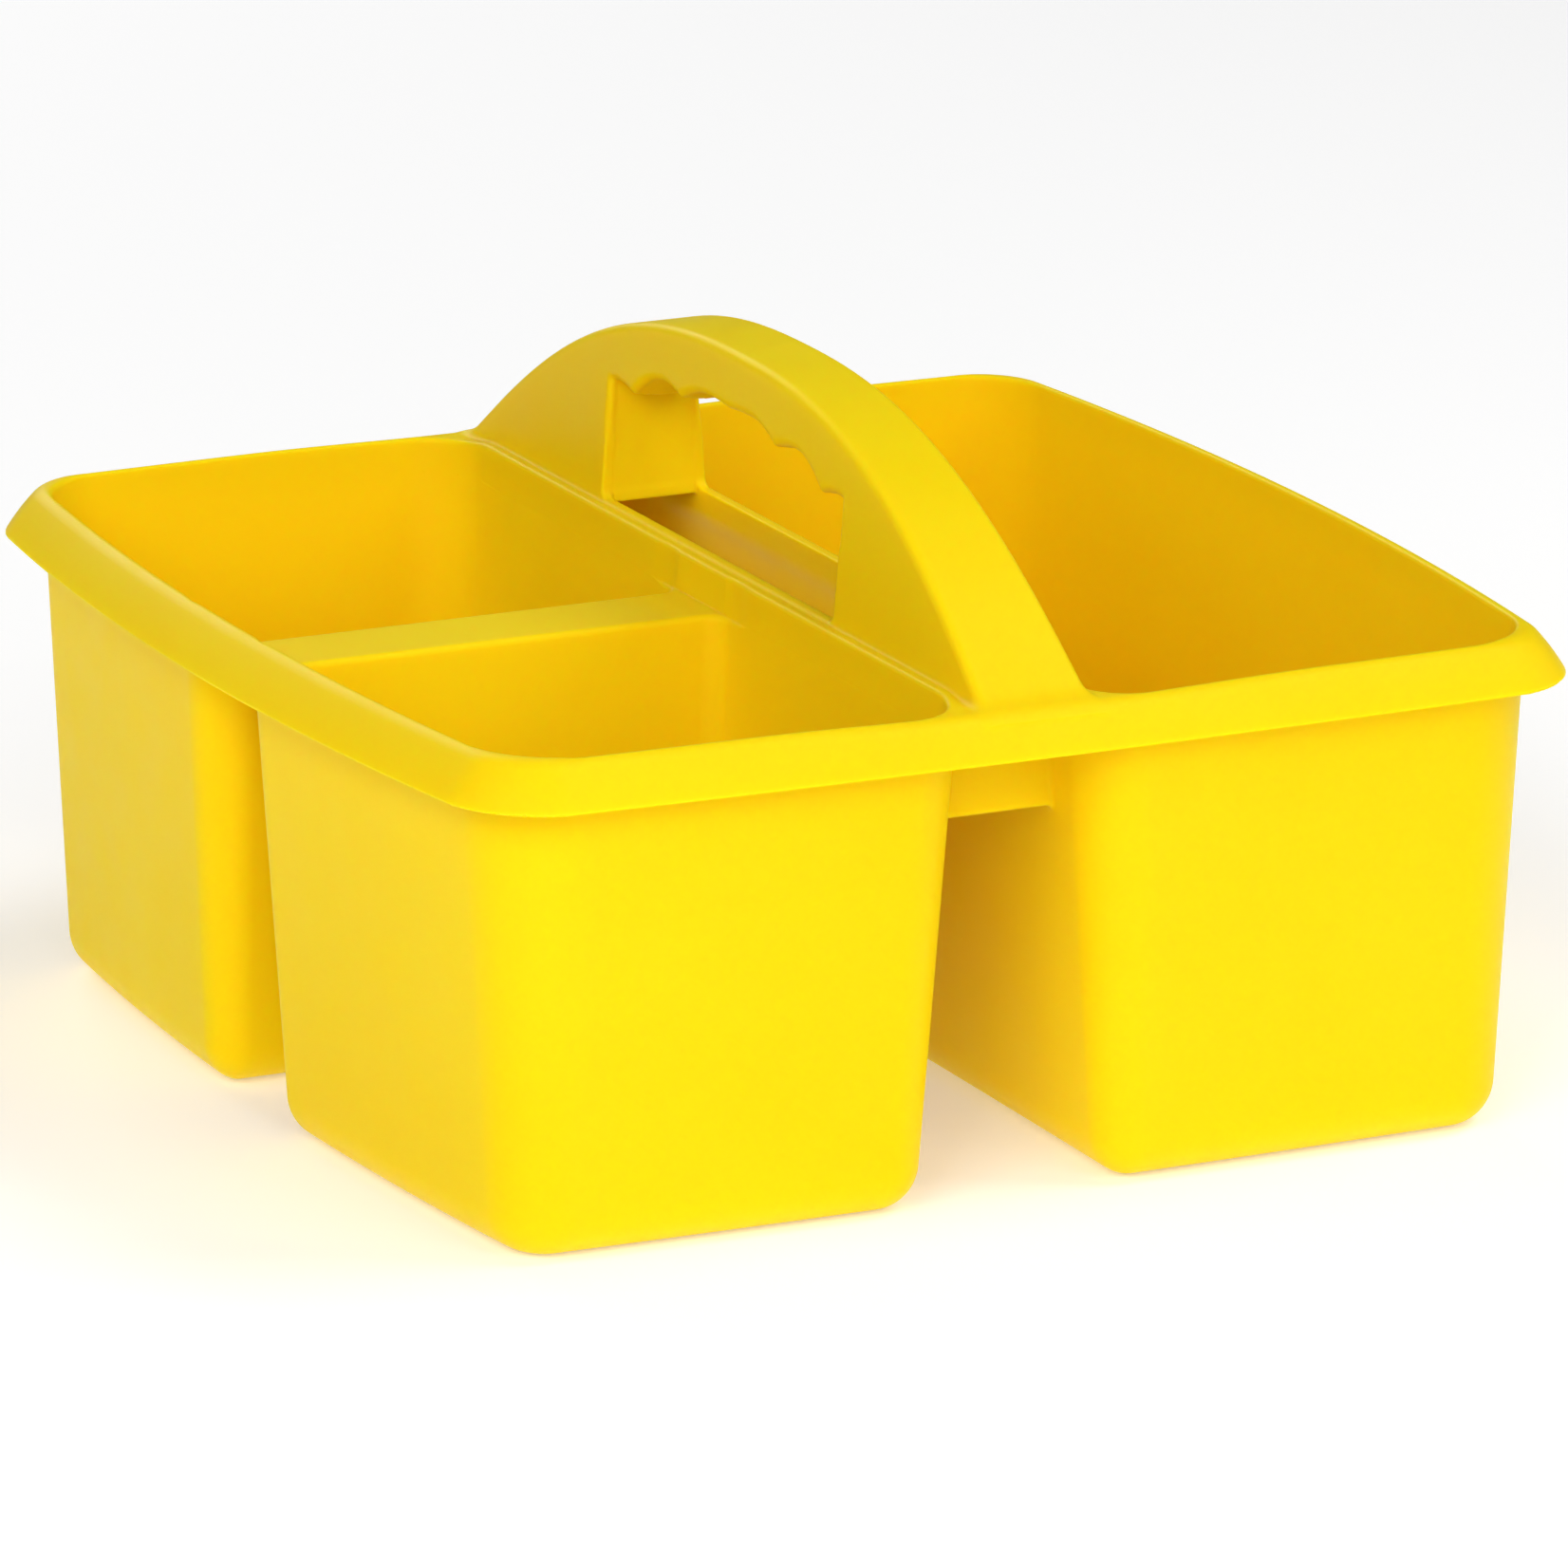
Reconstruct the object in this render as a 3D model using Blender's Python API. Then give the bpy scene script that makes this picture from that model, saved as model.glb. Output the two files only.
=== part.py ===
"""Three-compartment moulded caddy with an arched carrying handle. Metres, +Z up.

The origin is at the middle of the footprint, on the plane the bins stand on.
X runs across the handle: the two small bins are at -X, the large bin is at +X.
Y runs along the handle, and -Y is the front.
"""

import math

import bmesh
import bpy

# Overall size
HALF_X = 0.1174
HALF_Y = 0.1175
TOP_Z = 0.13335

# Wall, gap between nodes, mesh resolution
WALL = 0.0020
GAP = 0.0003
LEAST_RADIUS = 0.0015
CUT_OVERRUN = 0.0040
CORNER_STEPS = 5
SIDE_STEPS = 8
ROUND_STEPS = 4

# Rim: crest and skirt
CREST_Z = 0.0933
SKIRT_Z = 0.0852
CEILING_Z = 0.0902
SKIRT_CORNER = 0.0170
SKIRT_CORNER_LOSS = 0.80
SKIRT_PROFILE = (
    (SKIRT_Z, 0.0),
    (0.0896, 0.0026),
    (0.0924, 0.0056),
    (0.0931, 0.0062),
    (CREST_Z, 0.0069),
)
SKIRT_THICK = 0.0023
CEILING_NARROWING = 0.0004
EDGE_ROUND = 0.0007
EDGE_FLARE = 0.60
BAND_OVERLAP = 0.0012

# Bins
BIN_X = 0.1107
BIN_Y = 0.1108
BIN_TOP_Z = 0.0837
BAND_Z = 0.0840
OUTER_DRAFT = math.radians(3.2)
INNER_DRAFT = math.radians(4.5)
BOTTOM_ROUND = 0.0081
OUTER_CORNER = 0.0162
SMALL_CHANNEL_CORNER = 0.0140
LARGE_CHANNEL_CORNER = 0.0120
GROOVE_CORNER = 0.0100
CORNER_TAPER = 0.35
SMALL_CHANNEL_X = -0.0126
LARGE_CHANNEL_X = 0.0103
GROOVE_Y = 0.0072

# Divider strip between the small bins
DIVIDER_TOP_Z = 0.0865
DIVIDER_THICK = 0.0022

# Handle
HANDLE_X0 = -0.0116
HANDLE_X1 = 0.0099
HANDLE_LEAN = math.tan(math.radians(4.2))
HANDLE_HALF_Y = 0.1086
HANDLE_FOOT_Z = 0.0902
ARCH_POWER = 2.41
ARCH_ROOT = 1.087
ARCH_STEPS = 44
STRAP_THICK = 0.0020
STRAP_ROUND = 0.0018

# Finger opening
GRIP_HALF_Y = 0.0490
GRIP_SILL_Z = 0.0942
GRIP_CORNER = 0.0020
GRIP_WALL = 0.0020
GRIP_WALL_Z = 0.0930
ROOF_DROP = 0.0093
RIDGE_PITCH = 0.0200
RIDGE_DROPS = (0.0005, 0.0022, 0.0022)
ROOF_STEPS = 56

# Bridges under the rim, between the small bins and the large bin
BRIDGE_Y = 0.0920
BRIDGE_THICK = 0.0020
BRIDGE_BOTTOM_Z = 0.0683
BRIDGE_TOP_Z = 0.0899

# How far the ends of each side are pulled in, so that the four sides bow outwards
BOW_X = 0.0088
BOW_Y = 0.0023
BOW_START_X = 0.0120

YELLOW = (0.93, 0.60, 0.010, 1.0)
ROUGHNESS = 0.42
SHARP_ANGLE = math.radians(32.0)


def clear_scene():
    for obj in list(bpy.data.objects):
        bpy.data.objects.remove(obj, do_unlink=True)


def material_for(name):
    mat = bpy.data.materials.new("mat_" + name)
    mat.use_nodes = True
    shader = mat.node_tree.nodes["Principled BSDF"]
    shader.inputs["Base Color"].default_value = YELLOW
    shader.inputs["Roughness"].default_value = ROUGHNESS
    shader.inputs["Metallic"].default_value = 0.0
    return mat


def object_from(name, points, faces):
    mesh = bpy.data.meshes.new(name)
    mesh.from_pydata(points, [], faces)
    mesh.update()
    work = bmesh.new()
    work.from_mesh(mesh)
    bmesh.ops.recalc_face_normals(work, faces=work.faces)
    work.to_mesh(mesh)
    work.free()
    obj = bpy.data.objects.new(name, mesh)
    bpy.context.scene.collection.objects.link(obj)
    return obj


def outline(x0, x1, y0, y1, radii):
    """Counterclockwise rounded rectangle. radii: (+x+y, -x+y, -x-y, +x-y)."""
    centres = (
        (x1 - radii[0], y1 - radii[0]),
        (x0 + radii[1], y1 - radii[1]),
        (x0 + radii[2], y0 + radii[2]),
        (x1 - radii[3], y0 + radii[3]),
    )
    arcs = []
    for corner, (cx, cy) in enumerate(centres):
        arc = []
        for step in range(CORNER_STEPS + 1):
            angle = math.radians(90.0 * (corner + step / CORNER_STEPS))
            arc.append((cx + radii[corner] * math.cos(angle), cy + radii[corner] * math.sin(angle)))
        arcs.append(arc)
    points = []
    for corner in range(4):
        points += arcs[corner]
        ax, ay = arcs[corner][-1]
        bx, by = arcs[(corner + 1) % 4][0]
        for step in range(1, SIDE_STEPS):
            share = step / SIDE_STEPS
            points.append((ax + (bx - ax) * share, ay + (by - ay) * share))
    return points


def loft(name, rings):
    """Closed body through rings of equal length, capped at the first and the last."""
    count = len(rings[0])
    points = [point for ring in rings for point in ring]
    faces = [tuple(reversed(range(count)))]
    for level in range(len(rings) - 1):
        low = level * count
        high = low + count
        for i in range(count):
            j = (i + 1) % count
            faces.append((low + i, low + j, high + j, high + i))
    last = (len(rings) - 1) * count
    faces.append(tuple(range(last, last + count)))
    return object_from(name, points, faces)


def prism(name, profile, left_at, right_at):
    """Body between two leaning planes, over a closed profile of (y, z)."""
    count = len(profile)
    points = [(left_at(z), y, z) for y, z in profile] + [(right_at(z), y, z) for y, z in profile]
    faces = [tuple(range(count)), tuple(reversed(range(count, 2 * count)))]
    for i in range(count):
        j = (i + 1) % count
        faces.append((i, count + i, count + j, j))
    return object_from(name, points, faces)


def boolean(target, other, operation):
    modifier = target.modifiers.new(operation.lower(), "BOOLEAN")
    modifier.operation = operation
    modifier.solver = "EXACT"
    modifier.object = other
    bpy.context.view_layer.update()
    graph = bpy.context.evaluated_depsgraph_get()
    result = bpy.data.meshes.new_from_object(target.evaluated_get(graph))
    target.modifiers.clear()
    target.data = result
    bpy.data.objects.remove(other, do_unlink=True)
    return target


def box(name, x0, x1, y0, y1, z0, z1):
    profile = ((y0, z0), (y1, z0), (y1, z1), (y0, z1))
    return prism(name, profile, lambda z: x0, lambda z: x1)


# Bins ---------------------------------------------------------------------------------


class Cup:
    """Drafted compartment. Its box is the outer outline at the skirt's lower edge."""

    def __init__(self, x0, x1, y0, y1, radii):
        self.sides = (x0, x1, y0, y1)
        self.radii = radii
        self.drafts = (
            math.tan(OUTER_DRAFT if x0 == -BIN_X else INNER_DRAFT),
            math.tan(OUTER_DRAFT if x1 == BIN_X else INNER_DRAFT),
            math.tan(OUTER_DRAFT if y0 == -BIN_Y else INNER_DRAFT),
            math.tan(OUTER_DRAFT if y1 == BIN_Y else INNER_DRAFT),
        )

    def ring(self, z, inset):
        drop = SKIRT_Z - z
        x0, x1, y0, y1 = self.sides
        dx0, dx1, dy0, dy1 = (draft * drop + inset for draft in self.drafts)
        shrink = 1.0 - CORNER_TAPER * drop / SKIRT_Z
        radii = tuple(max(radius * shrink - inset, LEAST_RADIUS) for radius in self.radii)
        plan = outline(x0 + dx0, x1 - dx1, y0 + dy0, y1 - dy1, radii)
        return [(x, y, z) for x, y in plan]


def cups():
    outer, groove = OUTER_CORNER, GROOVE_CORNER
    channel, large = SMALL_CHANNEL_CORNER, LARGE_CHANNEL_CORNER
    front = Cup(-BIN_X, SMALL_CHANNEL_X, -BIN_Y, -GROOVE_Y, (groove, groove, outer, channel))
    rear = Cup(-BIN_X, SMALL_CHANNEL_X, GROOVE_Y, BIN_Y, (channel, outer, groove, groove))
    wide = Cup(LARGE_CHANNEL_X, BIN_X, -BIN_Y, BIN_Y, (outer, large, large, outer))
    both = Cup(-BIN_X, SMALL_CHANNEL_X, -BIN_Y, BIN_Y, (channel, outer, outer, channel))
    return front, rear, wide, both


def bin_body(name, cup):
    outer = []
    inner = []
    floor_round = BOTTOM_ROUND - WALL
    for step in range(ROUND_STEPS + 1):
        angle = math.radians(90.0 * (1.0 - step / ROUND_STEPS))
        rise = 1.0 - math.sin(angle)
        inward = 1.0 - math.cos(angle)
        outer.append(cup.ring(BOTTOM_ROUND * rise, BOTTOM_ROUND * inward))
        inner.append(cup.ring(WALL + floor_round * rise, WALL + floor_round * inward))
    outer.append(cup.ring(BIN_TOP_Z, 0.0))
    inner.append(cup.ring(BIN_TOP_Z, WALL))
    return loft(name, outer + inner[::-1])


def cavity(cup, z0):
    """Solid that cuts a compartment's opening through the rim."""
    flare = EDGE_FLARE * (EDGE_ROUND + CUT_OVERRUN)
    rings = [
        cup.ring(z0, WALL),
        cup.ring(CREST_Z - EDGE_ROUND, WALL),
        cup.ring(CREST_Z + CUT_OVERRUN, WALL - flare),
    ]
    return loft("cut_cavity", rings)


# Rim ----------------------------------------------------------------------------------


def skirt_ring(z, inset):
    radius = SKIRT_CORNER - SKIRT_CORNER_LOSS * inset
    plan = outline(-HALF_X + inset, HALF_X - inset, -HALF_Y + inset, HALF_Y - inset, (radius,) * 4)
    return [(x, y, z) for x, y in plan]


def skirt_plate(name):
    """The flared skirt and the flat top it hangs from, before the openings are cut."""
    ceiling_inset = SKIRT_PROFILE[1][1] + SKIRT_THICK
    rings = [skirt_ring(CEILING_Z, ceiling_inset + CEILING_NARROWING)]
    rings.append(skirt_ring(SKIRT_Z, SKIRT_THICK))
    rings += [skirt_ring(z, inset) for z, inset in SKIRT_PROFILE]
    return loft(name, rings)


def rim(name, cup, middle_side):
    """Skirt, opening edge and the wall band under it, on one side of the handle."""
    body = skirt_plate(name)
    band = loft("band", [cup.ring(BAND_Z, 0.0), cup.ring(CEILING_Z + BAND_OVERLAP, 0.0)])
    boolean(body, band, "UNION")
    boolean(body, cavity(cup, BAND_Z - CUT_OVERRUN), "DIFFERENCE")
    handle_cut = box(
        "cut_handle",
        HANDLE_X0 - GAP,
        HANDLE_X1 + GAP,
        -HANDLE_HALF_Y - GAP,
        HANDLE_HALF_Y + GAP,
        BRIDGE_TOP_Z,
        TOP_Z,
    )
    boolean(body, handle_cut, "DIFFERENCE")
    middle = 0.5 * (HANDLE_X0 + HANDLE_X1)
    edge = middle + middle_side * 0.5 * GAP
    reach = 2.0 * HALF_X
    if middle_side > 0:
        other_half = box("cut_half", -reach, edge, -reach, reach, -reach, reach)
    else:
        other_half = box("cut_half", edge, reach, -reach, reach, -reach, reach)
    return boolean(body, other_half, "DIFFERENCE")


def divider(name, front, rear, both):
    """Strip that joins the tops of the two small bins, with flared ends."""
    low = DIVIDER_TOP_Z - DIVIDER_THICK
    strip = loft(name, [both.ring(low, WALL + GAP), both.ring(DIVIDER_TOP_Z, WALL + GAP)])
    for cup in (front, rear):
        bottom = cup.ring(low - CUT_OVERRUN, WALL)
        cutter = loft("cut_cup", [bottom, cup.ring(DIVIDER_TOP_Z + CUT_OVERRUN, WALL)])
        boolean(strip, cutter, "DIFFERENCE")
    reach = 2.0 * HALF_X
    half_width = GROOVE_Y + WALL + GROOVE_CORNER
    for y0, y1 in ((-reach, -half_width), (half_width, reach)):
        boolean(strip, box("cut_end", -reach, reach, y0, y1, 0.0, reach), "DIFFERENCE")
    return strip


# Handle -------------------------------------------------------------------------------


def arch_z(y):
    share = max(1.0 - abs(y / HANDLE_HALF_Y) ** ARCH_POWER, 0.0)
    return CREST_Z + (TOP_Z - CREST_Z) * share**ARCH_ROOT


def left_face(inset):
    return lambda z: HANDLE_X0 + inset + (z - CREST_Z) * HANDLE_LEAN


def right_face(inset):
    return lambda z: HANDLE_X1 - inset - (z - CREST_Z) * HANDLE_LEAN


def arch_line():
    points = [(-HANDLE_HALF_Y, HANDLE_FOOT_Z)]
    for step in range(ARCH_STEPS + 1):
        y = HANDLE_HALF_Y * (2.0 * step / ARCH_STEPS - 1.0)
        points.append((y, arch_z(y)))
    points.append((HANDLE_HALF_Y, HANDLE_FOOT_Z))
    return points


def inward_at(line, i):
    """Mitred inward offset direction of the arch line at point i."""
    before = line[max(i - 1, 0)]
    here = line[i]
    after = line[min(i + 1, len(line) - 1)]
    normals = []
    for a, b in ((before, here), (here, after)):
        length = math.hypot(b[0] - a[0], b[1] - a[1])
        if length > 0.0:
            normals.append(((b[1] - a[1]) / length, -(b[0] - a[0]) / length))
    ny = sum(n[0] for n in normals) / len(normals)
    nz = sum(n[1] for n in normals) / len(normals)
    square = ny * ny + nz * nz
    return ny / square, nz / square


def offset_arch(depth):
    line = arch_line()
    result = []
    for i, (y, z) in enumerate(line):
        ny, nz = inward_at(line, i)
        result.append((y + ny * depth, z + nz * depth))
    return result


def strap(name):
    section = [(-1, 0.0, STRAP_THICK), (1, 0.0, STRAP_THICK)]
    for side in (1, -1):
        arc = []
        for step in range(ROUND_STEPS + 1):
            angle = math.radians(90.0 * step / ROUND_STEPS)
            pull = STRAP_ROUND * (1.0 - math.cos(angle))
            arc.append((side, pull, STRAP_ROUND * (1.0 - math.sin(angle))))
        section += arc if side == 1 else arc[::-1]
    line = arch_line()
    rings = []
    for i, (y, z) in enumerate(line):
        ny, nz = inward_at(line, i)
        ring = []
        for side, pull, depth in section:
            py = y + ny * depth
            pz = z + nz * depth
            face = right_face(pull) if side > 0 else left_face(pull)
            ring.append((face(pz), py, pz))
        rings.append(ring)
    return loft(name, rings)


def roof_z(y):
    z = arch_z(y) - ROOF_DROP
    for k in range(-2, 3):
        share = abs(y - k * RIDGE_PITCH) / (0.5 * RIDGE_PITCH)
        if share < 1.0:
            z -= RIDGE_DROPS[abs(k)] * (1.0 - math.sin(0.5 * math.pi * share))
    return z


def roof_line(half):
    ys = [half * (2.0 * step / ROOF_STEPS - 1.0) for step in range(ROOF_STEPS + 1)]
    return [(y, roof_z(y)) for y in ys]


def opening_profile():
    profile = []
    for side in (-1, 1):
        arc = []
        for step in range(ROUND_STEPS + 1):
            angle = math.radians(90.0 * step / ROUND_STEPS)
            y = side * (GRIP_HALF_Y - GRIP_CORNER * (1.0 - math.sin(angle)))
            z = GRIP_SILL_Z + GRIP_CORNER * (1.0 - math.cos(angle))
            arc.append((y, z))
        profile += arc[::-1] if side == -1 else arc
    return profile + roof_line(GRIP_HALF_Y)[::-1]


def plate(name, left_at, right_at):
    curve = offset_arch(STRAP_THICK + GAP)
    body = prism(name, curve, left_at, right_at)
    reach = 2.0 * HALF_X
    cutter = prism("cut_grip", opening_profile(), lambda z: -reach, lambda z: reach)
    return boolean(body, cutter, "DIFFERENCE")


def curve_z(curve, y):
    for (ay, az), (by, bz) in zip(curve, curve[1:]):
        if ay <= y <= by and by > ay:
            return az + (bz - az) * (y - ay) / (by - ay)
    return CREST_Z


def grip_roof(name):
    curve = offset_arch(STRAP_THICK + GAP)
    half = GRIP_HALF_Y - GAP
    lower = roof_line(half)
    upper = [(y, curve_z(curve, y)) for y, _ in lower]
    return prism(name, lower + upper[::-1], left_face(WALL + GAP), right_face(WALL + GAP))


def grip_wall(name, side):
    curve = offset_arch(STRAP_THICK + GAP)
    near = side * GRIP_HALF_Y
    far = side * (GRIP_HALF_Y + GRIP_WALL)
    top = [(far, curve_z(curve, far)), (near, curve_z(curve, near))]
    profile = [(near, GRIP_WALL_Z), (far, GRIP_WALL_Z)] + top
    return prism(name, profile, left_face(WALL + GAP), right_face(WALL + GAP))


def bridge(name, side):
    near = side * (BRIDGE_Y - BRIDGE_THICK)
    far = side * BRIDGE_Y
    top_z = BRIDGE_TOP_Z - GAP
    profile = [(near, BRIDGE_BOTTOM_Z), (far, BRIDGE_BOTTOM_Z), (far, top_z), (near, top_z)]
    slope = math.tan(INNER_DRAFT)

    def left_at(z):
        return SMALL_CHANNEL_X - (SKIRT_Z - z) * slope + GAP

    def right_at(z):
        return LARGE_CHANNEL_X + (SKIRT_Z - z) * slope - GAP

    return prism(name, profile, left_at, right_at)


# Assembly -----------------------------------------------------------------------------


def bow(obj):
    """Pull the ends of each side inwards, so that the four sides bow outwards in plan."""
    for vertex in obj.data.vertices:
        x, y, _ = vertex.co
        share = max(abs(x) - BOW_START_X, 0.0) / (HALF_X - BOW_START_X)
        dx = BOW_X * share * (y / HALF_Y) ** 2
        dy = BOW_Y * abs(y) / HALF_Y * (x / HALF_X) ** 2
        vertex.co.x = x - math.copysign(dx, x)
        vertex.co.y = y - math.copysign(dy, y)


def build():
    clear_scene()
    front, rear, wide, both = cups()
    bowed = [
        bin_body("large_bin", wide),
        bin_body("front_small_bin", front),
        bin_body("rear_small_bin", rear),
        divider("bin_divider", front, rear, both),
        rim("small_side_rim", both, -1),
        rim("large_side_rim", wide, 1),
    ]
    for obj in bowed:
        bow(obj)
    straight = [
        bridge("front_bridge", -1),
        bridge("rear_bridge", 1),
        plate("handle_small_side", left_face(0.0), left_face(WALL)),
        plate("handle_large_side", right_face(WALL), right_face(0.0)),
        strap("handle_strap"),
        grip_roof("grip_roof"),
        grip_wall("grip_front_wall", -1),
        grip_wall("grip_rear_wall", 1),
    ]
    for obj in bowed + straight:
        obj.data.materials.clear()
        obj.data.materials.append(material_for(obj.name))
        obj.data.shade_smooth()
        obj.data.set_sharp_from_angle(angle=SHARP_ANGLE)


build()
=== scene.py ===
"""Looks of the moulded caddy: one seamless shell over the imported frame, its plastic, floor, light and camera.

The real caddy is one moulding, so the shell is made as one closed surface. It is the zero level of a field
that joins the bins, the rim, the handle and the bridges with small fillets. Metres, in the frame's axes.
"""

import math

import bpy
import numpy as np
from mathutils import Matrix, Vector


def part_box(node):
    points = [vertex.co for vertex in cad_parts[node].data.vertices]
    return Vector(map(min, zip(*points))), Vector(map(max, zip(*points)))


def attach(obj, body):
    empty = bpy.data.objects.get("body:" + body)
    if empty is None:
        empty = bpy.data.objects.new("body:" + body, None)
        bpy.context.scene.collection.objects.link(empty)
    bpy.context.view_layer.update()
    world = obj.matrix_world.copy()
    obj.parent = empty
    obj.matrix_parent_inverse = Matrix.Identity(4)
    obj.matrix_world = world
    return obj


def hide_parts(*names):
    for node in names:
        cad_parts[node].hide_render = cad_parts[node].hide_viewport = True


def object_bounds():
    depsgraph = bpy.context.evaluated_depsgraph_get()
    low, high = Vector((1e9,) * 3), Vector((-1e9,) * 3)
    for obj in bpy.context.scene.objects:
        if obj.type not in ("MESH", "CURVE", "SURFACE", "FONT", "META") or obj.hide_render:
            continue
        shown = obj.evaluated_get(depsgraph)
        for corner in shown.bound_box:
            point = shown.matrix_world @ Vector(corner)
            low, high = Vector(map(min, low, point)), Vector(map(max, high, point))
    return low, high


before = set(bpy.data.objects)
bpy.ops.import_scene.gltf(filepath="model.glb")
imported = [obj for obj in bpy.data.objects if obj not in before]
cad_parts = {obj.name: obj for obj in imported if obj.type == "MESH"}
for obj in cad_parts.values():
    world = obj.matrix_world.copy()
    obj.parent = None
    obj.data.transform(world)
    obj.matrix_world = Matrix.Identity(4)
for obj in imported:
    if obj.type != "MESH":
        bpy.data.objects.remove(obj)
CAD_LOW, CAD_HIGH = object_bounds()

# Sizes read from the frame
HALF_X = CAD_HIGH.x
HALF_Y = CAD_HIGH.y
TOP_Z = CAD_HIGH.z
CREST_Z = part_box("small_side_rim")[1].z
DIVIDER_LOW_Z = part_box("bin_divider")[0].z
DIVIDER_TOP_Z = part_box("bin_divider")[1].z
HANDLE_HALF_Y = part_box("handle_strap")[1].y
GRIP_HALF_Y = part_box("grip_rear_wall")[0].y
GRIP_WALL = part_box("grip_rear_wall")[1].y - GRIP_HALF_Y
GRIP_WALL_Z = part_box("grip_rear_wall")[0].z
BRIDGE_Y0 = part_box("rear_bridge")[0].y
BRIDGE_Y1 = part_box("rear_bridge")[1].y
BRIDGE_LOW_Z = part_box("rear_bridge")[0].z

# Mould details
WALL = 0.0020
SKIRT_Z = 0.0852
OUTER_DRAFT = math.tan(math.radians(3.2))
INNER_DRAFT = math.tan(math.radians(4.5))
BOTTOM_ROUND = 0.0081
OUTER_CORNER = 0.0162
SMALL_CHANNEL_CORNER = 0.0140
LARGE_CHANNEL_CORNER = 0.0120
GROOVE_CORNER = 0.0100
DIVIDER_END_CORNER = 0.0062
CORNER_TAPER = 0.35
OUTER_X = 0.1101
OUTER_Y = 0.1108
SMALL_CHANNEL_X = -0.0126
LARGE_CHANNEL_X = 0.0103
CHANNEL_X = 0.5 * (SMALL_CHANNEL_X + LARGE_CHANNEL_X)
GROOVE_Y = 0.0072
SKIRT_CORNER = 0.0170
SKIRT_CORNER_LOSS = 0.80
SKIRT_KNEE = (0.0026, 0.0896)
SKIRT_TOP = (0.00656, 0.0933)
HANDLE_X0 = -0.0116
HANDLE_X1 = 0.0103
HANDLE_LEAN = math.tan(math.radians(4.2))
ARCH_POWER = 2.44
FOOT_REACH = 0.0003
CREST_LIFT = 0.0004
CREST_DIP = 0.0008
CREST_DIP_X = (0.0150, 0.0600)
CREST_DIP_Y = (0.0950, 0.1050)
ARCH_ROOT = 1.087
ARCH_FOOT_SHARE = 0.95
GRIP_SILL_Z = 0.0942
GRIP_CORNER = 0.0020
ROOF_DROP = 0.0098
RIDGE_PITCH = 0.0200
RIDGE_DROPS = (0.0005, 0.0024, 0.0032)
ROOF_CROWN = 0.0016
BOW_X = 0.0088
BOW_Y = 0.0023
BOW_START_X = 0.0120
HOLLOW_END = 0.0080

# Widths of the blends where surfaces meet, and the bands over which they change
KNEE_BLEND = 0.0020
RIM_TOP_BLEND = 0.0014
SHARP_BLEND = 0.0005
RIM_BIN_BLEND = 0.0015
CHANNEL_BLEND_GAIN = 0.0075
CHANNEL_BAND_X = (0.0130, 0.0150)
CHANNEL_BAND_Y = (0.0980, 0.1040)
CREST_BLEND_GAIN = 0.0005
DIVIDER_BLEND = 0.0001
DIVIDER_BLEND_GAIN = 0.0012
DIVIDER_BAND_Y = (0.0150, 0.0210)
BRIDGE_BLEND = 0.0012
HANDLE_EDGE_BLEND = 0.0018
HANDLE_RIM_BLEND = 0.0010
HANDLE_FOOT_GAIN = 0.0012
HANDLE_FOOT_BAND_Y = (0.1000, 0.1060)
HOLLOW_PART_BLEND = 0.0006
HOLLOW_BLEND = 0.0010
GRIP_BLEND = 0.0008
OPENING_BLEND_GAIN = 0.0009
OPENING_BAND_Z = (0.1040, 0.1100)

# Mesh of the shell. The GRID_ places are where the grid's spacing changes
MARGIN = 0.0020
FINE = 0.0005
UPPER_Z = 0.0780
KEPT_SHARE = 0.22
GRID_EDGE = 0.0990
GRID_CHANNEL_X = (-0.0220, 0.0160)
GRID_DIVIDER_Y = 0.0220
GRID_RIDGE_Y = 0.0540
GRID_BOTTOM_Z = 0.0110
GRID_CREST_Z = 0.0960
SLOPE_STEP = 0.00004
BOW_STEP = 0.0001
LEAST_SLOPE_SQUARE = 0.05
PROJECTION_ROUNDS = 2

# Plastic
PLASTIC_COLOURS = ((0.945, 0.655, 0.004, 1.0), (0.960, 0.680, 0.005, 1.0))
FLOW_SCALE, FLOW_DETAIL, FLOW_RANGE = 14.0, 3.0, (0.35, 0.65)
GLOSS_SCALE, GLOSS_DETAIL, GLOSS_RANGE = 90.0, 4.0, (0.3, 0.7)
GRAIN_SCALE, GRAIN_DETAIL = 1400.0, 2.0
ROUGHNESS = (0.40, 0.48)
GRAIN_STRENGTH = 0.25
GRAIN_HEIGHT = 0.00004
SCATTER_RADIUS = (1.0, 0.65, 0.10)
SCATTER_SCALE = 0.0020
SPECULAR_LEVEL = 0.08
SPECULAR_TINT = (1.0, 0.90, 0.30, 1.0)

# Camera
CAMERA_TARGET = Vector((-0.01642, -0.03969, 0.06225))
CAMERA_AZIMUTH = math.radians(25.96)
CAMERA_ELEVATION = math.radians(15.90)
CAMERA_ROLL = math.radians(0.36)
CAMERA_DISTANCE = 2.3219
CAMERA_LENS = 294.1
CAMERA_CLIP = (0.1, 20.0)
SENSOR = 36.0

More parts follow.
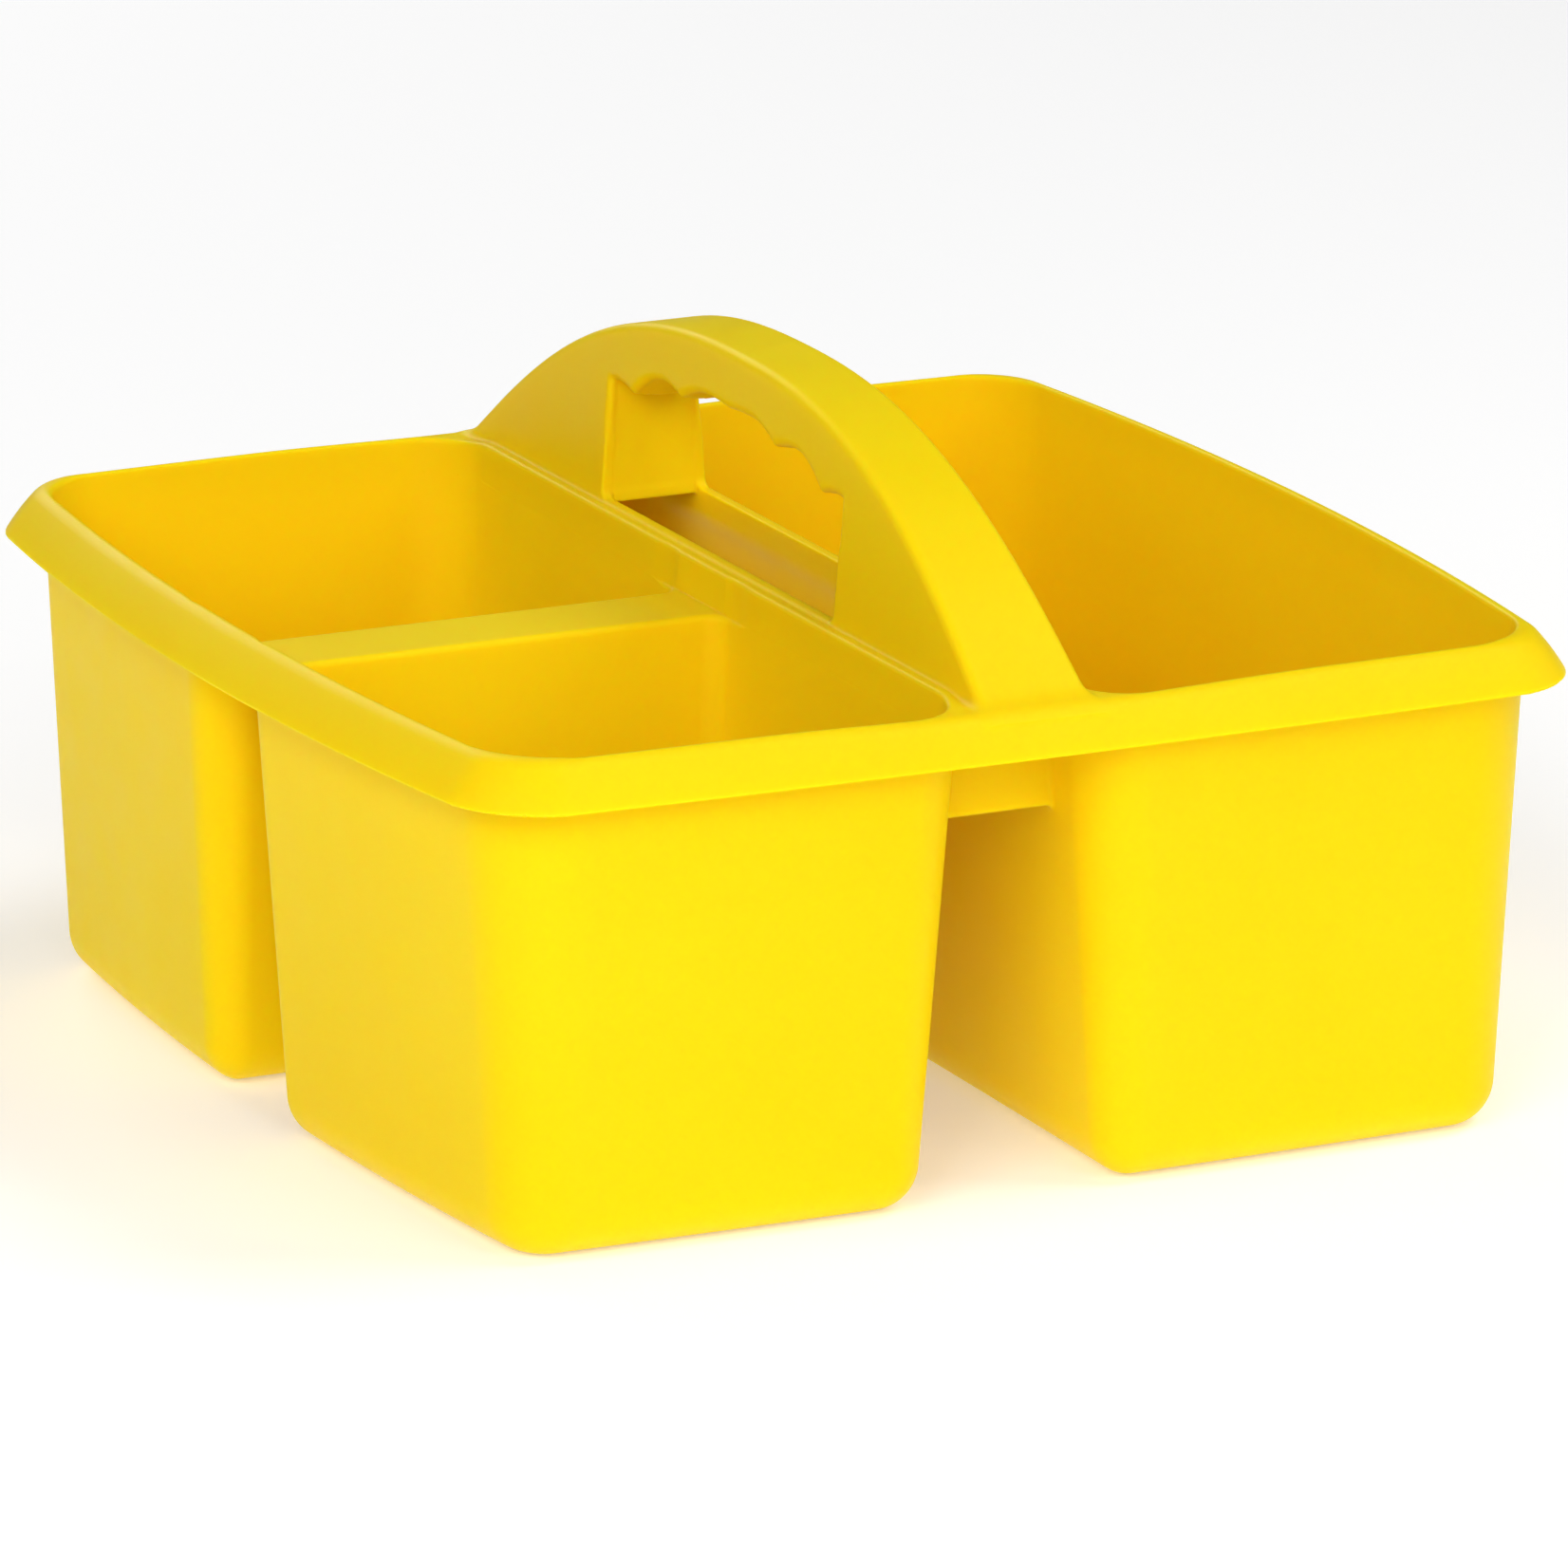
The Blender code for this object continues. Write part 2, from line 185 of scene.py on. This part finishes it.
# Studio
WORLD_STRENGTH = 0.03
FLOOR_GLOW = 0.24
FLOOR_ALBEDO = 0.97
FLOOR_ROUGHNESS = 0.9
FLOOR_HALF = 6.0
FLOOR_DROP = 0.0002
LAMP_SIZE = 1.0
LAMP_AIM = Vector((0.0, 0.0, 0.06))
LAMPS = (
    ("camera_side", (-0.90, -1.90, 0.75), 12.5),
    ("front", (0.0, -1.90, 1.50), 7.0),
    ("front_right", (0.90, -1.90, 1.00), 6.5),
    ("high_left", (-1.40, -1.30, 1.30), 17.0),
    ("left_fill", (-1.70, -0.20, 1.40), 5.0),
    ("right_fill", (1.90, -0.30, 0.90), 2.5),
    ("high_right", (1.10, -0.50, 1.80), 15.5),
    ("back_fill", (0.0, 1.90, 1.00), 12.0),
)


# Camera -------------------------------------------------------------------------------


def make_camera():
    data = bpy.data.cameras.new("camera")
    data.lens = CAMERA_LENS
    data.sensor_width = SENSOR
    data.clip_start, data.clip_end = CAMERA_CLIP
    camera = bpy.data.objects.new("camera", data)
    bpy.context.scene.collection.objects.link(camera)
    flat = math.cos(CAMERA_ELEVATION)
    forward = Vector(
        (flat * math.sin(CAMERA_AZIMUTH), flat * math.cos(CAMERA_AZIMUTH), -math.sin(CAMERA_ELEVATION))
    )
    camera.rotation_mode = "QUATERNION"
    roll = Matrix.Rotation(CAMERA_ROLL, 3, "Z").to_quaternion()
    camera.rotation_quaternion = forward.to_track_quat("-Z", "Y") @ roll
    camera.location = CAMERA_TARGET - forward * CAMERA_DISTANCE
    bpy.context.scene.camera = camera


# Field of the shell -------------------------------------------------------------------


def smooth_min(a, b, k):
    h = np.maximum(k - np.abs(a - b), 0.0)
    return np.minimum(a, b) - h * h / (4.0 * k)


def smooth_max(a, b, k):
    h = np.maximum(k - np.abs(a - b), 0.0)
    return np.maximum(a, b) + h * h / (4.0 * k)


def fade(value, start, end):
    """0 up to start, 1 past end, smooth in between."""
    share = np.clip((value - start) / (end - start), 0.0, 1.0)
    return share * share * (3.0 - 2.0 * share)


def round_corner(a, b, r):
    """Intersection of two sides, with an edge of radius r."""
    a = a + r
    b = b + r
    outside = np.hypot(np.maximum(a, 0.0), np.maximum(b, 0.0))
    return np.minimum(np.maximum(a, b), 0.0) + outside - r


def plan_box(x, y, x0, x1, y0, y1, radii):
    """Distance to a rounded rectangle. radii: (+x+y, -x+y, -x-y, +x-y)."""
    px = x - 0.5 * (x0 + x1)
    py = y - 0.5 * (y0 + y1)
    right = np.where(py > 0.0, radii[0], radii[3])
    left = np.where(py > 0.0, radii[1], radii[2])
    r = np.where(px > 0.0, right, left)
    qx = np.abs(px) - 0.5 * (x1 - x0) + r
    qy = np.abs(py) - 0.5 * (y1 - y0) + r
    outside = np.hypot(np.maximum(qx, 0.0), np.maximum(qy, 0.0))
    return np.minimum(np.maximum(qx, qy), 0.0) + outside - r


def cup_plan(x, y, z, y0, y1, side):
    """Plan distance to a compartment's outer wall at height z. side -1 is the small bins' side."""
    drop = SKIRT_Z - z
    if side < 0:
        x0 = -OUTER_X + OUTER_DRAFT * drop
        x1 = SMALL_CHANNEL_X - INNER_DRAFT * drop
    else:
        x0 = LARGE_CHANNEL_X + INNER_DRAFT * drop
        x1 = OUTER_X - OUTER_DRAFT * drop
    low_draft = OUTER_DRAFT if y0 < -GROOVE_Y else INNER_DRAFT
    high_draft = OUTER_DRAFT if y1 > GROOVE_Y else INNER_DRAFT
    shrink = 1.0 - CORNER_TAPER * drop / SKIRT_Z
    radii = []
    for corner_x, corner_y in ((1, y1), (-1, y1), (-1, y0), (1, y0)):
        if abs(corner_y) <= GROOVE_Y:
            radius = GROOVE_CORNER if corner_x == side else DIVIDER_END_CORNER
        elif corner_x == side:
            radius = OUTER_CORNER
        else:
            radius = SMALL_CHANNEL_CORNER if side < 0 else LARGE_CHANNEL_CORNER
        radii.append(radius * shrink)
    return plan_box(x, y, x0, x1, y0 + low_draft * drop, y1 - high_draft * drop, radii)


def cup_body(x, y, z, y0, y1, side):
    """Outer body of one compartment, with its rounded bottom edge."""
    return round_corner(cup_plan(x, y, z, y0, y1, side), -z, BOTTOM_ROUND)


def bins_low(x, y, z):
    """Outer bodies of the bins, below the divider."""
    small = cup_body(x, y, z, GROOVE_Y, OUTER_Y, -1)
    large = cup_body(x, y, z, -OUTER_Y, OUTER_Y, 1)
    return small, large


def bridge(x, y, z):
    """The apron that closes the channel's end under the rim."""
    drop = SKIRT_Z - z
    middle = 0.5 * (BRIDGE_Y0 + BRIDGE_Y1)
    slab = np.abs(y - middle) - 0.5 * (BRIDGE_Y1 - BRIDGE_Y0)
    left = SMALL_CHANNEL_X - INNER_DRAFT * drop - 0.5 * WALL
    right = LARGE_CHANNEL_X + INNER_DRAFT * drop + 0.5 * WALL
    ends = np.maximum(left - x, x - right)
    height = np.maximum(BRIDGE_LOW_Z - z, z - (CREST_Z - 0.5 * WALL))
    return smooth_max(np.maximum(slab, ends), height, BRIDGE_BLEND)


def skirt_section(x, y, z):
    """Distances to the skirt's outer face and to the rim's top."""
    heights = (SKIRT_Z, SKIRT_KNEE[1], SKIRT_TOP[1])
    inset = np.interp(z, heights, (0.0, SKIRT_KNEE[0], SKIRT_TOP[0]))
    radius = SKIRT_CORNER - SKIRT_CORNER_LOSS * inset
    half_x = HALF_X - inset
    half_y = HALF_Y - inset
    plan = plan_box(x, y, -half_x, half_x, -half_y, half_y, (radius,) * 4)
    depth = inset - plan
    faces = []
    for (s0, z0), (s1, z1) in (((0.0, SKIRT_Z), SKIRT_KNEE), (SKIRT_KNEE, SKIRT_TOP)):
        length = math.hypot(s1 - s0, z1 - z0)
        faces.append(((z - z0) * (s1 - s0) - (depth - s0) * (z1 - z0)) / length)
    side = smooth_max(faces[0], faces[1], KNEE_BLEND)
    dip = CREST_DIP * (1.0 - fade(np.abs(x), *CREST_DIP_X)) * fade(y, *CREST_DIP_Y)
    return side, z - (CREST_Z + CREST_LIFT - dip)


def arch_z(y):
    """Height and slope of the arch. Past its foot it goes on straight."""
    y = np.abs(y)
    half = HANDLE_HALF_Y + FOOT_REACH
    foot = ARCH_FOOT_SHARE * half
    u = np.minimum(y, foot) / half
    rest = 1.0 - u**ARCH_POWER
    z = CREST_Z + (TOP_Z - CREST_Z) * rest**ARCH_ROOT
    fall = ARCH_ROOT * rest ** (ARCH_ROOT - 1.0) * ARCH_POWER * u ** (ARCH_POWER - 1.0)
    slope = -(TOP_Z - CREST_Z) * fall / half
    return z + slope * np.maximum(y - foot, 0.0), slope


def roof_z(y):
    """Height of the finger opening's scalloped roof, for y >= 0."""
    z = arch_z(y)[0] - ROOF_DROP
    for k, drop in enumerate(RIDGE_DROPS):
        share = np.minimum(np.abs(y - k * RIDGE_PITCH) / (0.5 * RIDGE_PITCH), 1.0)
        z = z - drop * (1.0 - np.sin(0.5 * math.pi * share))
    return z


def rim_field(x, y, z):
    """Skirt, top edge, bins and divider, for y >= 0."""
    small, large = bins_low(x, y, z)
    both = cup_plan(x, y, z, -OUTER_Y, OUTER_Y, -1)
    joint = DIVIDER_BLEND + DIVIDER_BLEND_GAIN * (1.0 - fade(y, *DIVIDER_BAND_Y))
    strip = np.maximum(both, DIVIDER_LOW_Z - z)
    outer = np.minimum(smooth_min(small, strip, joint), large)
    side, flat = skirt_section(x, y, z)
    lid = smooth_max(side, flat, RIM_TOP_BLEND)
    under = smooth_max(-(lid + WALL), SKIRT_Z - z, SHARP_BLEND)
    off_channel = np.abs(x - CHANNEL_X)
    in_channel = (1.0 - fade(off_channel, *CHANNEL_BAND_X)) * (1.0 - fade(y, *CHANNEL_BAND_Y))
    edge = SHARP_BLEND + CREST_BLEND_GAIN * fade(z, DIVIDER_TOP_Z + WALL, CREST_Z - WALL)
    body = smooth_min(under, outer, RIM_BIN_BLEND + CHANNEL_BLEND_GAIN * in_channel)
    body = smooth_max(body, lid, SHARP_BLEND)
    small_cavity = smooth_min(small + WALL, np.maximum(both + WALL, DIVIDER_TOP_Z - z), joint)
    body = smooth_max(body, -small_cavity, edge)
    return smooth_max(body, -(large + WALL), edge)


def upper_field(x, y, z):
    """Field of the whole shell above UPPER_Z, for y >= 0."""
    lean = (z - CREST_Z) * HANDLE_LEAN
    slab = np.maximum(HANDLE_X0 + lean - x, x - HANDLE_X1 + lean)
    height, slope = arch_z(y)
    over = (z - height) / np.sqrt(1.0 + slope * slope)
    handle = smooth_max(slab, over, HANDLE_EDGE_BLEND)
    handle = np.maximum(handle, CREST_Z - 0.5 * WALL - z)
    foot_blend = HANDLE_RIM_BLEND + HANDLE_FOOT_GAIN * fade(y, *HANDLE_FOOT_BAND_Y)
    body = smooth_min(rim_field(x, y, z), handle, foot_blend)
    # The handle is hollow and open below, apart from the block over the finger opening
    far_end = HALF_Y - HOLLOW_END
    half_width = 0.5 * (HANDLE_X1 - HANDLE_X0) - lean
    across = (x - 0.5 * (HANDLE_X0 + HANDLE_X1)) / half_width
    roof = roof_z(y) - ROOF_CROWN * (1.0 - np.minimum(across * across, 1.0) ** 2)
    tilt = (roof_z(y + FINE) - roof_z(y - FINE)) / (2.0 * FINE)
    under_roof = (z - roof) / np.sqrt(1.0 + tilt * tilt)
    near = np.maximum(y - GRIP_HALF_Y, under_roof)
    far = np.maximum(GRIP_HALF_Y + GRIP_WALL - y, y - far_end)
    below = np.maximum(z - GRIP_WALL_Z, y - far_end)
    part = smooth_min(smooth_min(near, far, HOLLOW_PART_BLEND), below, HOLLOW_PART_BLEND)
    hollow = smooth_max(slab + WALL, over + WALL, HOLLOW_BLEND)
    body = smooth_max(body, -smooth_max(hollow, part, HOLLOW_PART_BLEND), GRIP_BLEND)
    grip = round_corner(y - GRIP_HALF_Y, GRIP_SILL_Z - z, GRIP_CORNER)
    grip = smooth_max(grip, under_roof, GRIP_BLEND)
    body = smooth_max(body, -grip, SHARP_BLEND + OPENING_BLEND_GAIN * fade(z, *OPENING_BAND_Z))
    return smooth_min(body, bridge(x, y, z), BRIDGE_BLEND)


def lower_field(x, y, z):
    """Field of the bins and the bridges below UPPER_Z, for y >= 0."""
    small, large = bins_low(x, y, z)
    outer = np.minimum(small, large)
    body = np.maximum(outer, -(outer + WALL))
    return smooth_min(body, bridge(x, y, z), BRIDGE_BLEND)


def field(x, y, z):
    """Field of the whole shell: below zero inside the plastic."""
    y = np.abs(y)
    return np.where(z > UPPER_Z, upper_field(x, y, z), lower_field(x, y, z))


# Mesh of the shell --------------------------------------------------------------------


def grid_values(xs, ys, zs):
    x = xs[:, None, None]
    y = np.abs(ys)[None, :, None]
    low = zs[zs <= UPPER_Z][None, None, :]
    high = zs[zs > UPPER_Z][None, None, :]
    return np.concatenate((lower_field(x, y, low), upper_field(x, y, high)), axis=2)


def surface_cells(values):
    """Vertex of each cell that the surface crosses, in cell units, and the table of their numbers."""
    inside = values < 0.0
    total = np.zeros([n - 1 for n in values.shape], np.uint8)
    corners = [(i, j, k) for i in (0, 1) for j in (0, 1) for k in (0, 1)]
    for i, j, k in corners:
        total += inside[i : i + total.shape[0], j : j + total.shape[1], k : k + total.shape[2]]
    cells = np.argwhere((total > 0) & (total < len(corners)))
    level = {c: values[cells[:, 0] + c[0], cells[:, 1] + c[1], cells[:, 2] + c[2]] for c in corners}
    summed = np.zeros((len(cells), 3))
    count = np.zeros(len(cells))
    for start in corners:
        for axis in range(3):
            if start[axis]:
                continue
            end = tuple(1 if a == axis else v for a, v in enumerate(start))
            a = level[start]
            b = level[end]
            crossed = (a < 0.0) != (b < 0.0)
            share = np.where(crossed, a / np.where(crossed, a - b, 1.0), 0.0)
            for a_axis in range(3):
                place = share if a_axis == axis else start[a_axis]
                summed[:, a_axis] += np.where(crossed, place, 0.0)
            count += crossed
    number = np.full(total.shape, -1, np.int32)
    number[tuple(cells.T)] = np.arange(len(cells))
    return cells + summed / count[:, None], number, inside


def surface_quads(number, inside):
    """One quad round each grid edge that the surface crosses."""
    quads = []
    for axis in range(3):
        first = [slice(None)] * 3
        second = [slice(None)] * 3
        first[axis] = slice(0, -1)
        second[axis] = slice(1, None)
        entering = inside[tuple(first)] != inside[tuple(second)]
        u, v = [a for a in range(3) if a != axis]
        edges = np.argwhere(entering)
        keep = (edges[:, u] > 0) & (edges[:, v] > 0)
        keep &= (edges[:, u] < number.shape[u]) & (edges[:, v] < number.shape[v])
        edges = edges[keep]
        ring = []
        for du, dv in ((0, 0), (1, 0), (1, 1), (0, 1)):
            cell = edges.copy()
            cell[:, u] -= du
            cell[:, v] -= dv
            ring.append(number[tuple(cell.T)])
        ring = np.stack(ring, axis=1)
        outward = inside[tuple(first)][tuple(edges.T)] != (axis == 1)
        quads.append(np.where(outward[:, None], ring, ring[:, ::-1]))
    return np.concatenate(quads)


def gradient(points):
    parts = []
    for axis in range(3):
        ahead = points.copy()
        behind = points.copy()
        ahead[:, axis] += SLOPE_STEP
        behind[:, axis] -= SLOPE_STEP
        parts.append((field(*ahead.T) - field(*behind.T)) / (2.0 * SLOPE_STEP))
    return np.stack(parts, axis=1)


def onto_surface(points):
    """Move points along the field's slope to its zero level."""
    for _ in range(PROJECTION_ROUNDS):
        slope = gradient(points)
        square = np.maximum((slope * slope).sum(axis=1), LEAST_SLOPE_SQUARE)
        move = -field(*points.T)[:, None] * slope / square[:, None]
        length = np.maximum(np.linalg.norm(move, axis=1), 1e-12)
        points = points + move * np.minimum(1.0, 0.5 * FINE / length)[:, None]
    return points


def graded(start, stops):
    """Grid positions from start, through bands of (end, spacing)."""
    places = [start]
    for end, spacing in stops:
        count = max(round((end - places[-1]) / spacing), 1)
        places += list(np.linspace(places[-1], end, count + 1)[1:])
    return np.array(places)


def grid_axes():
    """Fine where the edges are, coarse across the flat walls."""
    side = HALF_X + MARGIN
    xs = graded(
        -side,
        (
            (-GRID_EDGE, FINE),
            (GRID_CHANNEL_X[0], 2.0 * FINE),
            (GRID_CHANNEL_X[1], FINE),
            (GRID_EDGE, 2.0 * FINE),
            (side, FINE),
        ),
    )
    rear = HALF_Y + MARGIN
    ys = graded(
        -0.5 * FINE,
        ((GRID_DIVIDER_Y, FINE), (GRID_RIDGE_Y, 1.6 * FINE), (GRID_EDGE, 2.0 * FINE), (rear, FINE)),
    )
    ys[1] = 0.5 * FINE
    zs = graded(
        -MARGIN,
        (
            (GRID_BOTTOM_Z, 1.4 * FINE),
            (UPPER_Z, 2.4 * FINE),
            (GRID_CREST_Z, 0.8 * FINE),
            (TOP_Z + MARGIN, 1.2 * FINE),
        ),
    )
    return xs, ys, zs


def half_surface():
    """Closed surface of the rear half, cut on the plane of symmetry."""
    axes = grid_axes()
    values = grid_values(*axes)
    places, number, inside = surface_cells(values)
    quads = surface_quads(number, inside)
    points = [np.interp(places[:, a], np.arange(len(axes[a])), axes[a]) for a in range(3)]
    return np.stack(points, axis=1), quads


def whole_surface():
    """The rear half and its mirror image, which share the points on the plane of symmetry."""
    points, quads = half_surface()
    middle = np.abs(points[:, 1]) < 0.5 * FINE
    points[middle, 1] = 0.0
    mirrored = points * np.array((1.0, -1.0, 1.0))
    renumber = np.where(middle, np.arange(len(points)), 0)
    renumber[~middle] = len(points) + np.arange((~middle).sum())
    points = np.concatenate((points, mirrored[~middle]))
    return points, np.concatenate((quads, renumber[quads][:, ::-1]))


def mesh_from(name, points, faces):
    mesh = bpy.data.meshes.new(name)
    mesh.vertices.add(len(points))
    mesh.vertices.foreach_set("co", points.astype(np.float32).ravel())
    corners = faces.shape[1]
    mesh.loops.add(faces.size)
    mesh.loops.foreach_set("vertex_index", faces.astype(np.int32).ravel())
    mesh.polygons.add(len(faces))
    mesh.polygons.foreach_set("loop_start", np.arange(0, faces.size, corners, dtype=np.int32))
    mesh.update(calc_edges=True)
    mesh.validate()
    return mesh


def mesh_points(mesh):
    """A mesh's vertices as an array."""
    points = np.empty(len(mesh.vertices) * 3, np.float32)
    mesh.vertices.foreach_get("co", points)
    return points.reshape(-1, 3).astype(np.float64)


def bowed(points):
    """Pull the ends of each side inwards, so that the four sides bow outwards in plan."""
    x, y, z = points.T
    share = np.maximum(np.abs(x) - BOW_START_X, 0.0) / (HALF_X - BOW_START_X)
    dx = BOW_X * share * (y / HALF_Y) ** 2
    dy = BOW_Y * np.abs(y) / HALF_Y * (x / HALF_X) ** 2
    return np.stack((x - np.sign(x) * dx, y - np.sign(y) * dy, z), axis=1)


def bowed_normals(points, normals):
    """Normals after the bow: the inverse transpose of the map's plan derivative."""
    side = np.array((BOW_STEP, 0.0, 0.0))
    rear = np.array((0.0, BOW_STEP, 0.0))
    ahead_x = (bowed(points + side) - bowed(points - side)) / (2.0 * BOW_STEP)
    ahead_y = (bowed(points + rear) - bowed(points - rear)) / (2.0 * BOW_STEP)
    a, c = ahead_x[:, 0], ahead_x[:, 1]
    b, d = ahead_y[:, 0], ahead_y[:, 1]
    det = a * d - b * c
    nx, ny, nz = normals.T
    out = np.stack(((d * nx - c * ny) / det, (a * ny - b * nx) / det, nz), axis=1)
    return out / np.linalg.norm(out, axis=1)[:, None]


def make_shell():
    """The whole caddy as one closed mesh, thinned out, put back on its surface, then bowed."""
    points, quads = whole_surface()
    mesh = mesh_from("caddy_shell", onto_surface(points), quads)
    shell = bpy.data.objects.new("caddy_shell", mesh)
    bpy.context.scene.collection.objects.link(shell)
    thin = shell.modifiers.new("decimate", "DECIMATE")
    thin.ratio = KEPT_SHARE
    graph = bpy.context.evaluated_depsgraph_get()
    shell.data = bpy.data.meshes.new_from_object(shell.evaluated_get(graph))
    shell.modifiers.clear()
    points = onto_surface(mesh_points(shell.data))
    normals = bowed_normals(points, gradient(points))
    shell.data.vertices.foreach_set("co", bowed(points).astype(np.float32).ravel())
    shell.data.update()
    shell.data.shade_smooth()
    shell.data.normals_split_custom_set_from_vertices(normals.astype(np.float32))
    return shell


# Material -----------------------------------------------------------------------------


def moulded_plastic(name):
    mat = bpy.data.materials.new(name)
    mat.use_nodes = True
    nodes = mat.node_tree.nodes
    links = mat.node_tree.links
    shader = nodes["Principled BSDF"]
    place = nodes.new("ShaderNodeTexCoord").outputs["Object"]

    def noise(scale, detail):
        node = nodes.new("ShaderNodeTexNoise")
        node.inputs["Scale"].default_value = scale
        node.inputs["Detail"].default_value = detail
        links.new(place, node.inputs["Vector"])
        return node.outputs["Fac"]

    def ramp(value, span, ends):
        node = nodes.new("ShaderNodeMapRange")
        node.inputs["From Min"].default_value = span[0]
        node.inputs["From Max"].default_value = span[1]
        node.inputs["To Min"].default_value = ends[0]
        node.inputs["To Max"].default_value = ends[1]
        links.new(value, node.inputs["Value"])
        return node.outputs["Result"]

    flow = ramp(noise(FLOW_SCALE, FLOW_DETAIL), FLOW_RANGE, (0.0, 1.0))
    gloss = ramp(noise(GLOSS_SCALE, GLOSS_DETAIL), GLOSS_RANGE, ROUGHNESS)
    tint = nodes.new("ShaderNodeMix")
    tint.data_type = "RGBA"
    tint.inputs[6].default_value = PLASTIC_COLOURS[0]
    tint.inputs[7].default_value = PLASTIC_COLOURS[1]
    links.new(flow, tint.inputs[0])
    links.new(tint.outputs[2], shader.inputs["Base Color"])
    links.new(gloss, shader.inputs["Roughness"])
    bump = nodes.new("ShaderNodeBump")
    bump.inputs["Strength"].default_value = GRAIN_STRENGTH
    bump.inputs["Distance"].default_value = GRAIN_HEIGHT
    links.new(noise(GRAIN_SCALE, GRAIN_DETAIL), bump.inputs["Height"])
    links.new(bump.outputs["Normal"], shader.inputs["Normal"])
    shader.inputs["Subsurface Weight"].default_value = 1.0
    shader.inputs["Subsurface Radius"].default_value = SCATTER_RADIUS
    shader.inputs["Subsurface Scale"].default_value = SCATTER_SCALE
    shader.inputs["Specular IOR Level"].default_value = SPECULAR_LEVEL
    shader.inputs["Specular Tint"].default_value = SPECULAR_TINT
    return mat


def floor_material(name):
    mat = bpy.data.materials.new(name)
    mat.use_nodes = True
    shader = mat.node_tree.nodes["Principled BSDF"]
    shader.inputs["Base Color"].default_value = (FLOOR_ALBEDO, FLOOR_ALBEDO, FLOOR_ALBEDO, 1.0)
    shader.inputs["Roughness"].default_value = FLOOR_ROUGHNESS
    shader.inputs["Emission Color"].default_value = (1.0, 1.0, 1.0, 1.0)
    shader.inputs["Emission Strength"].default_value = FLOOR_GLOW
    return mat


# Studio -------------------------------------------------------------------------------


def make_floor():
    corners = [(x * FLOOR_HALF, y * FLOOR_HALF, 0.0) for x, y in ((-1, -1), (1, -1), (1, 1), (-1, 1))]
    mesh = bpy.data.meshes.new("floor")
    mesh.from_pydata(corners, [], [(0, 1, 2, 3)])
    mesh.materials.append(floor_material("floor"))
    floor = bpy.data.objects.new("floor", mesh)
    floor.location.z = -FLOOR_DROP
    bpy.context.scene.collection.objects.link(floor)


def area_light(name, position, power):
    data = bpy.data.lights.new(name, "AREA")
    data.size = LAMP_SIZE
    data.energy = power
    lamp = bpy.data.objects.new(name, data)
    lamp.location = position
    aim = LAMP_AIM - lamp.location
    lamp.rotation_mode = "QUATERNION"
    lamp.rotation_quaternion = aim.to_track_quat("-Z", "Y")
    bpy.context.scene.collection.objects.link(lamp)


def make_light():
    world = bpy.data.worlds.new("studio")
    world.use_nodes = True
    background = world.node_tree.nodes["Background"]
    background.inputs["Color"].default_value = (1.0, 1.0, 1.0, 1.0)
    background.inputs["Strength"].default_value = WORLD_STRENGTH
    bpy.context.scene.world = world
    bpy.context.scene.view_settings.view_transform = "Standard"
    for name, position, power in LAMPS:
        area_light(name, Vector(position), power)


# Assembly -----------------------------------------------------------------------------


def build():
    make_camera()
    make_light()
    make_floor()
    shell = make_shell()
    shell.data.materials.clear()
    shell.data.materials.append(moulded_plastic("satin_polypropylene"))
    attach(shell, "root")
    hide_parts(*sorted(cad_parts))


build()
